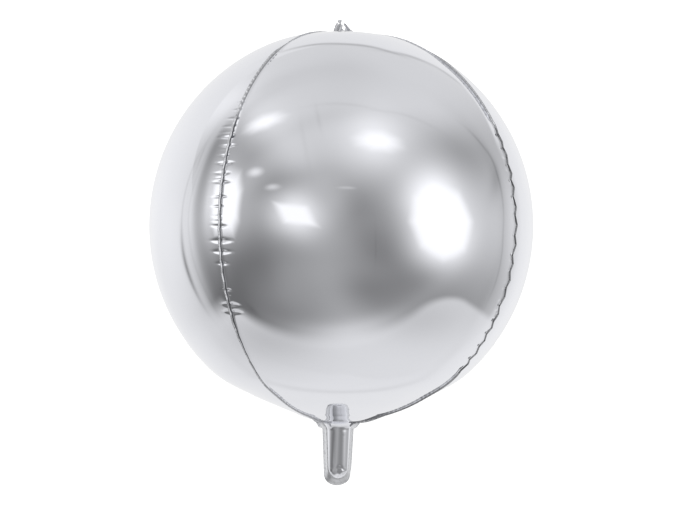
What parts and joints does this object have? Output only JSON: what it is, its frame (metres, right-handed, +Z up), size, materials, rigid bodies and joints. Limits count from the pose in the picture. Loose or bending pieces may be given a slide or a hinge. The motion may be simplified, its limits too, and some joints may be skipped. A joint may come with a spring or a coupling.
{
  "type": "round foil balloon",
  "caption": "Inflated silver foil ball balloon of welded gores, with a crown of weld ends on top and a short flat-welded neck below.",
  "frame": {"origin": "centre of the ball", "axes": "+Z up from the neck to the crown, -Y out of the middle of the front gore, with the neck's flat weld in the XZ plane"},
  "size_m": [0.3998, 0.3998, 0.4895],
  "materials": {
    "gore_film": "mirror-bright silver metallised film, stretched smooth",
    "ball_weld": "silver metallised film, heat welded and puckered, slightly dulled",
    "crown_film": "crumpled silver weld ends",
    "neck_film": "mirror-bright silver metallised film, a little creased",
    "neck_weld_film": "silver metallised film, heat welded flat"
  },
  "bodies": {
    "root": {"gore_front": "gore_film", "gore_right": "gore_film", "gore_back": "gore_film", "gore_left": "gore_film", "seam_front_left": "ball_weld", "seam_front_right": "ball_weld", "seam_back_right": "ball_weld", "seam_back_left": "ball_weld", "crown": "crown_film", "neck_front": "neck_film", "neck_back": "neck_film", "neck_weld": "neck_weld_film"}
  },
  "joints": []
}
